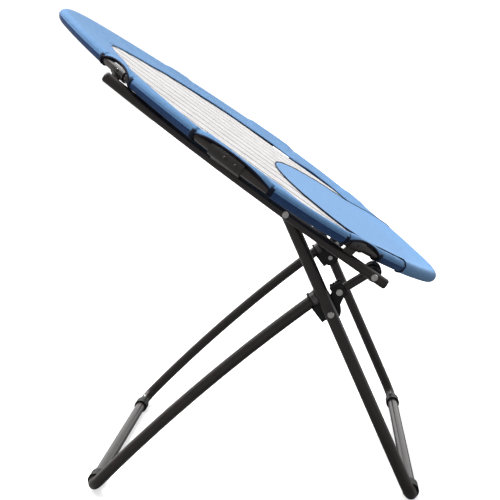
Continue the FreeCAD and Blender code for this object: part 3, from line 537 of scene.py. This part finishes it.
FRAME_COAT = powder_coat("frame_coat", (0.020, 0.013, 0.0125), (0.034, 0.023, 0.021))
RING_COAT = powder_coat("ring_coat", (0.042, 0.031, 0.028), (0.062, 0.047, 0.042))
BRACKET_COAT = powder_coat("bracket_coat", (0.026, 0.022, 0.021), (0.042, 0.036, 0.034))
BLACK = moulded_plastic("black_plastic", (0.008, 0.008, 0.009), (0.014, 0.014, 0.015))
NYLON = moulded_plastic("nylon_washer", (0.012, 0.012, 0.012), (0.02, 0.02, 0.02))
STEEL = plated_steel("rivet_steel", (0.58, 0.57, 0.56), (0.80, 0.79, 0.78))
COLLAR_STEEL = plated_steel("collar_steel", (0.14, 0.13, 0.13), (0.22, 0.21, 0.21))
TOP_CLOTH = woven_cloth("cover_top_cloth", (0.135, 0.315, 0.62), (0.20, 0.41, 0.72))
# Side cloth: a deeper navy than the top, made darker still with painted shade for the sleeve's
# underside, which faces away from the light.
SIDE_CLOTH_AND_SHADE = woven_cloth("cover_side_cloth_and_shade", (0.030, 0.082, 0.23), (0.054, 0.128, 0.32))
PANEL_CLOTH = woven_cloth("panel_cloth", (0.165, 0.36, 0.68), (0.225, 0.44, 0.76))
BINDING = woven_cloth("navy_binding", (0.006, 0.010, 0.028), (0.012, 0.020, 0.05), sheen=0.1)
PIPING = woven_cloth("blue_piping", (0.02, 0.06, 0.2), (0.035, 0.09, 0.26), sheen=0.15)
THREAD = woven_cloth("thread", (0.25, 0.42, 0.68), (0.35, 0.52, 0.78))
ELASTIC = ribbed_elastic("white_elastic")

SLOT_MATERIALS = {"frame_steel": FRAME_COAT, "bracket_steel": BRACKET_COAT,
                  "black_plastic": BLACK, "rivet_steel": STEEL, "nylon": NYLON}


def finish_cad_nodes():
    """Every CAD node that stays in view gets its material, by the record's slot."""
    for entry in frame["record"]["subparts"]:
        node, slot = entry["node"], entry["material_slot"]
        material = SLOT_MATERIALS.get(slot)
        if material is None:
            continue
        if node.startswith(("ring_top", "ring_upper", "ring_lower", "ring_front")):
            material = RING_COAT
        if node == "socket_collars":
            material = COLLAR_STEEL
        mesh = frame["nodes"][node].data
        mesh.materials.clear()
        mesh.materials.append(material)


# ------------------------------------------------------------------ soft pieces

def settle(piece, material, slot, *nodes):
    """Gives a piece its material and the seat body, and hides the nodes it stands for; slot is not
    used.
    """
    if isinstance(material, bpy.types.Material):
        piece.data.materials.append(material)
    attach(piece, "seat")
    if nodes:
        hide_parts(*nodes)
    return piece


def wrinkle(length, across):
    """Shallow puckers in the cloth, in mm: longer ones round the ring, short ones at the edge."""
    return (0.35 * np.sin(length / 17.0 + 2.1 * np.sin(length / 61.0))
            + 0.25 * np.sin(length / 7.3 + across / 19.0 + 1.3 * np.sin(length / 41.0)))


COVER_THICKNESS = 1.1
COVER_COLUMNS = 74
SEAM_COLUMN = 57  # the column of points that follows the seam


def cover_surface():
    """The cover's points, uvs, where it ends and where it has its seam, as a closed grid."""
    points, uvs, ends, sewn = [], [], [], []
    for i, length in enumerate(OUTLINE.length):
        section = profile(length)
        stop = cloth_end(length, section)
        seam = place_at(section, float(seam_angle(OUTLINE.s[i])))
        even = stop * SEAM_COLUMN / (COVER_COLUMNS - 1)
        at = np.concatenate([np.linspace(0, min(seam, even), SEAM_COLUMN + 1),
                             np.linspace(min(seam, even), stop,
                                         COVER_COLUMNS - SEAM_COLUMN)[1:]])
        cross = resample(section, at)
        outward, height = cross.T
        free = smooth(at, 0, 20) * smooth(-outward, 6, 20)  # puckers only off the tube
        height = height + wrinkle(length, at) * free
        height = height + 0.5 * np.exp(-(at / 3.0) ** 2)  # the rolled hem at the inner edge
        s = OUTLINE.s[i] + OUTLINE.out_s[i] * outward
        w = OUTLINE.w[i] + OUTLINE.out_w[i] * outward
        points.append(seat_array(s, w, height))
        uvs.append(np.stack([np.full_like(at, length * MM), at * MM], axis=1))
        ends.append(stop)
        sewn.append(seam <= even)
    return np.array(points), np.array(uvs), np.array(ends), sewn


def make_cover():
    """The cover, top cloth and darker side cloth (a deeper navy plus painted shade), as one sheet;
    gives its grid of points.
    """
    points, uvs, ends, sewn = cover_surface()
    rows = len(points)
    faces = [face[::-1] for face in grid_faces(rows, COVER_COLUMNS, closed=True)]
    cover = mesh_object("ring_cover_cloth", points.reshape(-1, 3), faces, uvs.reshape(-1, 2))
    cover.data.materials.append(TOP_CLOTH)
    cover.data.materials.append(SIDE_CLOTH_AND_SHADE)
    for number, polygon in enumerate(cover.data.polygons):
        i, k = divmod(number, COVER_COLUMNS - 1)
        # Faces below the seam take the side cloth: a deeper navy darkened further with painted
        # shade.
        polygon.material_index = int(sewn[i] and k >= SEAM_COLUMN)
    solidify(cover, COVER_THICKNESS * MM)
    settle(cover, None, "cover_fabric", "ring_cover")
    return points


PIPING_R = 0.75
STITCH_ANGLE = 24  # how far above the seam its stitches lie, in degrees
COLLAR_START, COLLAR_STOP, COLLAR_POINTS = 32, -150, 19  # a collar's arc, in degrees
COLLAR_INNER, COLLAR_OUTER = -0.6, 0.7  # its faces, from the sleeve's outer face
COLLAR_STATIONS = 3  # its length, in stations of the outline


def make_cover_trim(points):
    """Piping on the seam, bindings on the cut edges, collars on the sleeve ends and stitches."""
    lengths = OUTLINE.length
    rows = len(lengths)
    cut = np.array([cut_angle(length)[1] for length in lengths])
    around = np.stack([OUTLINE.out_s, OUTLINE.out_w], axis=1)

    def on_sleeve(i, degrees, radius):
        """A point round the tube at a station, and the direction out of the sleeve there."""
        a = math.radians(degrees)
        s = OUTLINE.s[i] + around[i, 0] * radius * math.cos(a)
        w = OUTLINE.w[i] + around[i, 1] * radius * math.cos(a)
        out = (ALONG * float(around[i, 0]) * math.cos(a)
               + Vector((0, float(around[i, 1]) * math.cos(a), 0)) + UP * math.sin(a))
        return np.array(seat(s, w, radius * math.sin(a))), np.array(out)

    def stretches(mask):
        """Runs of stations where the mask holds, going round past the start."""
        first = int(np.argmin(mask))
        order = [(first + k) % rows for k in range(rows)]
        runs, current = [], []
        for i in order:
            if mask[i]:
                current.append(i)
            elif current:
                runs.append(current)
                current = []
        if current:
            runs.append(current)
        return runs

    sleeves = stretches(cut < 0.02)
    piping, seam_stitches, collars = [], [], []
    for run in sleeves:
        line = [on_sleeve(i, float(seam_angle(OUTLINE.s[i])), SLEEVE_R + 0.2)
                for i in run[1:-1]]
        piping.append(tube_along([p for p, _ in line], PIPING_R * MM, 6,
                                 ups=[u for _, u in line]))
        line = [on_sleeve(i, float(seam_angle(OUTLINE.s[i])) + STITCH_ANGLE, SLEEVE_R + 0.15)
                for i in run[3:-3]]
        seam_stitches += stitch_row([p for p, _ in line], [u for _, u in line])
        for end in (range(run[0] - COLLAR_STATIONS, run[0] + 1),
                    range(run[-1], run[-1] + COLLAR_STATIONS + 1)):
            collars.append(collar([i % rows for i in end], on_sleeve))
    bindings = []
    for run in stretches(cut > 0.02):
        edge = points[run, -1]
        inward = points[run, -1] - points[run, -4]
        inward /= np.linalg.norm(inward, axis=1)[:, None]
        tangent = np.gradient(edge, axis=0)
        tangent /= np.linalg.norm(tangent, axis=1)[:, None]
        ups = np.cross(tangent, inward)
        bindings.append(tube_along(edge, 2.0 * MM, 10, ups=ups, flat=0.6))
    hem = points[:, 3] + np.array(UP) * 0.25 * MM
    hem = np.concatenate([hem, hem[:1]])
    hem_stitches = stitch_row(hem, np.tile(np.array(UP), (len(hem), 1)))
    for name, parts, material in (("cover_piping", piping, PIPING),
                                  ("cutout_bindings", bindings, BINDING),
                                  ("sleeve_collars", collars, BINDING),
                                  ("seam_stitches", seam_stitches, THREAD),
                                  ("hem_stitches", hem_stitches, THREAD)):
        settle(joined(name, parts), material, "cover_fabric")


def collar(stations, on_sleeve):
    """A short elastic collar round the end of a sleeve, as a closed band with thickness."""
    count = COLLAR_POINTS
    angles = np.linspace(COLLAR_START, COLLAR_STOP, count)
    outer, inner = (np.array([[on_sleeve(i, a, SLEEVE_R + face)[0] for a in angles]
                              for i in stations]) for face in (COLLAR_OUTER, COLLAR_INNER))
    rows = len(stations)
    vertices = np.concatenate([outer.reshape(-1, 3), inner.reshape(-1, 3)])
    base = rows * count
    faces = grid_faces(rows, count)
    faces += [tuple(base + i for i in reversed(face)) for face in grid_faces(rows, count)]
    for k in range(count - 1):
        for row, flip in ((0, True), (rows - 1, False)):
            a, b = row * count + k, row * count + k + 1
            face = (a, b, b + base, a + base)
            faces.append(tuple(reversed(face)) if flip else face)
    for i in range(rows - 1):
        for column, flip in ((0, False), (count - 1, True)):
            a, b = i * count + column, (i + 1) * count + column
            face = (a, b, b + base, a + base)
            faces.append(tuple(reversed(face)) if flip else face)
    return vertices, faces


# ------------------------------------------------------------------ elastic bands

STRAP_THICKNESS, STRAP_RIB = 1.7, 3.1
STRAP_END = 24.0  # where a band's end lies inside the centre line


def strap_height(s, w):
    """The bands' upper face: lowest in the middle of the seat, and lower at the sides."""
    return 0.4 - 0.6 * (abs(w) / 260) ** 2 - 1.6 * (1 - (s / 420) ** 2)


def strap_span(w):
    """The two ends of a band, where its line meets the outline set in."""
    s = np.linspace(-LENGTH / 2, LENGTH / 2, 900)
    inside = OUTLINE.depth(s, np.full_like(s, w)) > STRAP_END
    return s[inside][0], s[inside][-1]


def make_strap(number):
    """One band: ribs along it, rounded edges, closed all round."""
    middle = (number - (STRAP_COUNT + 1) / 2) * STRAP_PITCH
    first, last = strap_span(abs(middle) + STRAP_WIDTH / 2 - 1)
    rows = 60
    ribs = int(STRAP_WIDTH / STRAP_RIB)
    columns = ribs * 4 + 1
    across = np.linspace(-1, 1, columns)
    relief = 0.28 * np.cos(across * ribs * math.pi)
    edge = 1 - np.clip((abs(across) - 0.94) / 0.06, 0, 1) ** 2 * 0.5
    top, bottom, uvs = [], [], []
    for s in np.linspace(first, last, rows):
        w = middle + across * STRAP_WIDTH / 2
        height = strap_height(s, w) + relief + STRAP_THICKNESS * (edge - 1)
        low = strap_height(s, w) - STRAP_THICKNESS - relief + STRAP_THICKNESS * (1 - edge) * 0.2
        top.append(seat_array(np.full_like(w, s), w, height))
        bottom.append(seat_array(np.full_like(w, s), w, low))
        uvs.append(np.stack([w * MM, np.full_like(w, s * MM)], axis=1))
    top, bottom, uvs = np.array(top), np.array(bottom), np.array(uvs)
    vertices = np.concatenate([top.reshape(-1, 3), bottom.reshape(-1, 3)])
    base = rows * columns
    faces = [tuple(reversed(face)) for face in grid_faces(rows, columns)]
    faces += [tuple(base + i for i in face) for face in grid_faces(rows, columns)]
    for i in range(rows - 1):
        a, b = i * columns, (i + 1) * columns
        faces.append((a, b, b + base, a + base))
        a, b = a + columns - 1, b + columns - 1
        faces.append((b, a, a + base, b + base))
    for k in range(columns - 1):
        a = k
        faces.append((a + 1, a, a + base, a + 1 + base))
        a = (rows - 1) * columns + k
        faces.append((a, a + 1, a + 1 + base, a + base))
    strap = mesh_object(f"elastic_band_{number:02d}_woven", vertices, faces,
                        np.concatenate([uvs.reshape(-1, 2)] * 2))
    settle(strap, ELASTIC, "elastic", f"elastic_band_{number:02d}")


# ------------------------------------------------------------------ front panel

PANEL_RADIUS = 225.0  # of its round tip
PANEL_TIP = 60.0  # where the tip lies along the seat
PANEL_THICKNESS = 1.0
PANEL_OVER_BANDS = 0.6  # how much higher it lies where it passes over the bands
PANEL_END = 197.0  # its half width where its sides go over the ring
PANEL_LIFT = 1.2  # how far it lies over the cloth below
PANEL_COLUMNS_ROUND, PANEL_COLUMNS_FLAT = 26, 60


def band_height(depth, length):
    """The cover band's upper face at a depth inside the centre line."""
    share = np.clip((depth - 1) / (band_width(length) - 1), 0, 1)
    return SLEEVE_R + (EDGE_HEIGHT - SLEEVE_R) * share - SAG * np.sin(np.pi * share)


def panel_height(s, w):
    """The panel's upper face over the bands and the cover's band."""
    depth = OUTLINE.depth(s, w)
    over_band = band_height(depth, OUTLINE.half) + PANEL_LIFT
    over_straps = strap_height(s, w) + PANEL_LIFT + PANEL_OVER_BANDS
    edge = BAND_WIDTHS[-1][1]
    blend = smooth(depth, edge - 8, edge + 30)
    return over_band + (over_straps - over_band) * blend


def panel_edge(t):
    """The panel's free edge for t from 0, at the left crossing, to 1, at the right one."""
    reach = panel_crossing()
    straight = reach - (PANEL_TIP + PANEL_RADIUS)
    total = 2 * straight + math.pi * PANEL_RADIUS
    along = t * total
    from_end = min(along, total - along)
    if from_end < straight:
        drawn_in = (PANEL_RADIUS - PANEL_END) * (1 - from_end / straight) ** 1.6
        return reach - from_end, math.copysign(PANEL_RADIUS - drawn_in, total / 2 - along)
    angle = math.pi / 2 + (along - straight) / PANEL_RADIUS
    return (PANEL_TIP + PANEL_RADIUS + PANEL_RADIUS * math.cos(angle),
            PANEL_RADIUS * math.sin(angle))


def panel_crossing():
    """Where the panel's side meets the outline."""
    front = (OUTLINE.s > 150) & (OUTLINE.w > 0)
    order = np.argsort(OUTLINE.w[front])
    return float(np.interp(PANEL_END, OUTLINE.w[front][order], OUTLINE.s[front][order]))


def make_panel():
    """The panel: wrapped round the front of the ring, then flat up to its round tip."""
    reach = panel_crossing()
    front = np.where(OUTLINE.s > reach + 1)[0]
    count = len(front)
    grid, uvs = [], []
    for number, i in enumerate(front):
        t = number / (count - 1)
        section = profile(OUTLINE.length[i], PANEL_LIFT)
        outward, height = section.T
        on_tube = np.where(outward > -1.5)[0]
        wrap = section[on_tube][::-1]
        wrap = wrap[np.linspace(0, len(wrap) - 1, PANEL_COLUMNS_ROUND).astype(int)]
        s = OUTLINE.s[i] + OUTLINE.out_s[i] * wrap[:, 0]
        w = OUTLINE.w[i] + OUTLINE.out_w[i] * wrap[:, 0]
        edge_s, edge_w = panel_edge(t)
        share = np.linspace(0, 1, PANEL_COLUMNS_FLAT + 1)[1:]
        flat_s = s[-1] + (edge_s - s[-1]) * share
        flat_w = w[-1] + (edge_w - w[-1]) * share
        flat_n = panel_height(flat_s, flat_w)
        ease = smooth(share * math.hypot(edge_s - s[-1], edge_w - w[-1]), 0, 12)
        flat_n = wrap[-1, 1] * (1 - ease) + flat_n * ease
        pucker = 0.5 * np.sin(flat_w / 9 + flat_s / 23) * smooth(abs(flat_w), 120, 200)
        flat_n = flat_n + abs(pucker) * smooth(OUTLINE.depth(flat_s, flat_w), 4, 25)
        all_s, all_w = np.concatenate([s, flat_s]), np.concatenate([w, flat_w])
        all_n = np.concatenate([wrap[:, 1], flat_n])
        grid.append(seat_array(all_s, all_w, all_n))
        walked = np.concatenate([-np.cumsum(np.full(len(s), 1.4))[::-1], np.zeros(len(flat_s))])
        uvs.append(np.stack([all_w * MM, (all_s + walked * 0.3) * MM], axis=1))
    grid, uvs = np.array(grid), np.array(uvs)
    rows, columns = grid.shape[:2]
    faces = grid_faces(rows, columns)
    panel = mesh_object("front_panel_cloth", grid.reshape(-1, 3), faces, uvs.reshape(-1, 2))
    solidify(panel, PANEL_THICKNESS * MM)
    settle(panel, PANEL_CLOTH, "cover_fabric", "seat_panel")
    rim = np.concatenate([grid[0, :PANEL_COLUMNS_ROUND], grid[:, -1],
                          grid[-1, :PANEL_COLUMNS_ROUND][::-1]])
    keep = [0]
    for i in range(1, len(rim)):
        if np.linalg.norm(rim[i] - rim[keep[-1]]) > 2.0 * MM:
            keep.append(i)
    rim = rim[keep]
    binding = joined("front_panel_binding", [tube_along(rim, 1.3 * MM, 8)])
    settle(binding, BINDING, "cover_fabric")


# ------------------------------------------------------------------ camera, light and floor

def make_camera():
    """The camera: yaw, pitch down and roll in radians; the lens for a 36 mm sensor."""
    yaw, pitch, roll = -0.1014, 0.1825, -0.0353
    forward = Vector((math.sin(yaw) * math.cos(pitch), math.cos(yaw) * math.cos(pitch),
                      -math.sin(pitch)))
    right = Vector((math.cos(yaw), -math.sin(yaw), 0))
    up = right.cross(forward)
    c, s = math.cos(roll), math.sin(roll)
    right, up = c * right + s * up, -s * right + c * up
    data = bpy.data.cameras.new("camera")
    data.lens = 59.04
    data.sensor_width = 36
    camera = bpy.data.objects.new("camera", data)
    bpy.context.scene.collection.objects.link(camera)
    camera.matrix_world = Matrix.Translation((0.157, -1.6353, 0.7253)) @ Matrix(
        (right, up, -forward)).transposed().to_4x4()
    bpy.context.scene.camera = camera


def sun(name, direction, power, spread):
    """Even light from one direction; spread, in degrees, is how large its source looks."""
    data = bpy.data.lights.new(name, "SUN")
    data.energy = power
    data.angle = math.radians(spread)
    lamp = bpy.data.objects.new(name, data)
    bpy.context.scene.collection.objects.link(lamp)
    lamp.rotation_euler = (-Vector(direction)).to_track_quat("-Z", "Y").to_euler()


def make_studio():
    """A white room, brightest behind the chair: soft light from above, a glint from behind."""
    world = bpy.data.worlds.new("studio")
    world.use_nodes = True
    nodes, links = world.node_tree.nodes, world.node_tree.links
    seen = nodes.new("ShaderNodeLightPath").outputs["Is Camera Ray"]
    direction = nodes.new("ShaderNodeSeparateXYZ")
    links.new(nodes.new("ShaderNodeTexCoord").outputs["Generated"], direction.inputs[0])
    behind = nodes.new("ShaderNodeMapRange")
    behind.inputs["From Min"].default_value = -0.3
    behind.inputs["From Max"].default_value = 0.85
    behind.inputs["To Min"].default_value = 0.24
    behind.inputs["To Max"].default_value = 1.1
    links.new(direction.outputs["Y"], behind.inputs["Value"])
    strength = math_node(nodes, links, "MAXIMUM", seen, behind.outputs["Result"])
    background = nodes["Background"]
    background.inputs["Color"].default_value = (1, 1, 1, 1)
    links.new(strength, background.inputs["Strength"])
    bpy.context.scene.world = world
    sun("overhead", (-0.25, 0.1, 1.0), 2.3, 60)
    sun("glint", (-0.3, 0.45, 0.85), 1.3, 6)
    size = 30.0
    corners = [(-size, -size, -0.0004), (size, -size, -0.0004),
               (size, size, -0.0004), (-size, size, -0.0004)]
    floor = mesh_object("studio_floor", corners, [(0, 1, 2, 3)], smooth_faces=False)
    material, nodes, links, shader = new_material("floor_paint")
    place = nodes.new("ShaderNodeTexCoord").outputs["Object"]
    cloud = noise(nodes, links, place, 3, 3)
    colours = ramp(nodes, links, cloud.outputs["Fac"],
                   [(0.3, (0.93, 0.93, 0.93)), (0.7, (0.95, 0.95, 0.95))])
    seen = nodes.new("ShaderNodeLightPath").outputs["Is Camera Ray"]
    dimmed = nodes.new("ShaderNodeMix")  # white to look at, but it sends little light back up
    dimmed.data_type = "RGBA"
    dimmed.inputs["A"].default_value = (0.16, 0.16, 0.16, 1)
    links.new(seen, dimmed.inputs["Factor"])
    links.new(colours.outputs["Color"], dimmed.inputs["B"])
    links.new(dimmed.outputs["Result"], shader.inputs["Base Color"])
    shader.inputs["Roughness"].default_value = 0.9
    shader.inputs["Emission Color"].default_value = (1, 1, 1, 1)
    links.new(math_node(nodes, links, "MULTIPLY", seen, 0.6), shader.inputs["Emission Strength"])
    floor.data.materials.append(material)
    bpy.context.scene.view_settings.view_transform = "Standard"


# ------------------------------------------------------------------ the scene

make_camera()
make_studio()
finish_cad_nodes()
make_cover_trim(make_cover())
for strap_number in range(1, STRAP_COUNT + 1):
    make_strap(strap_number)
make_panel()
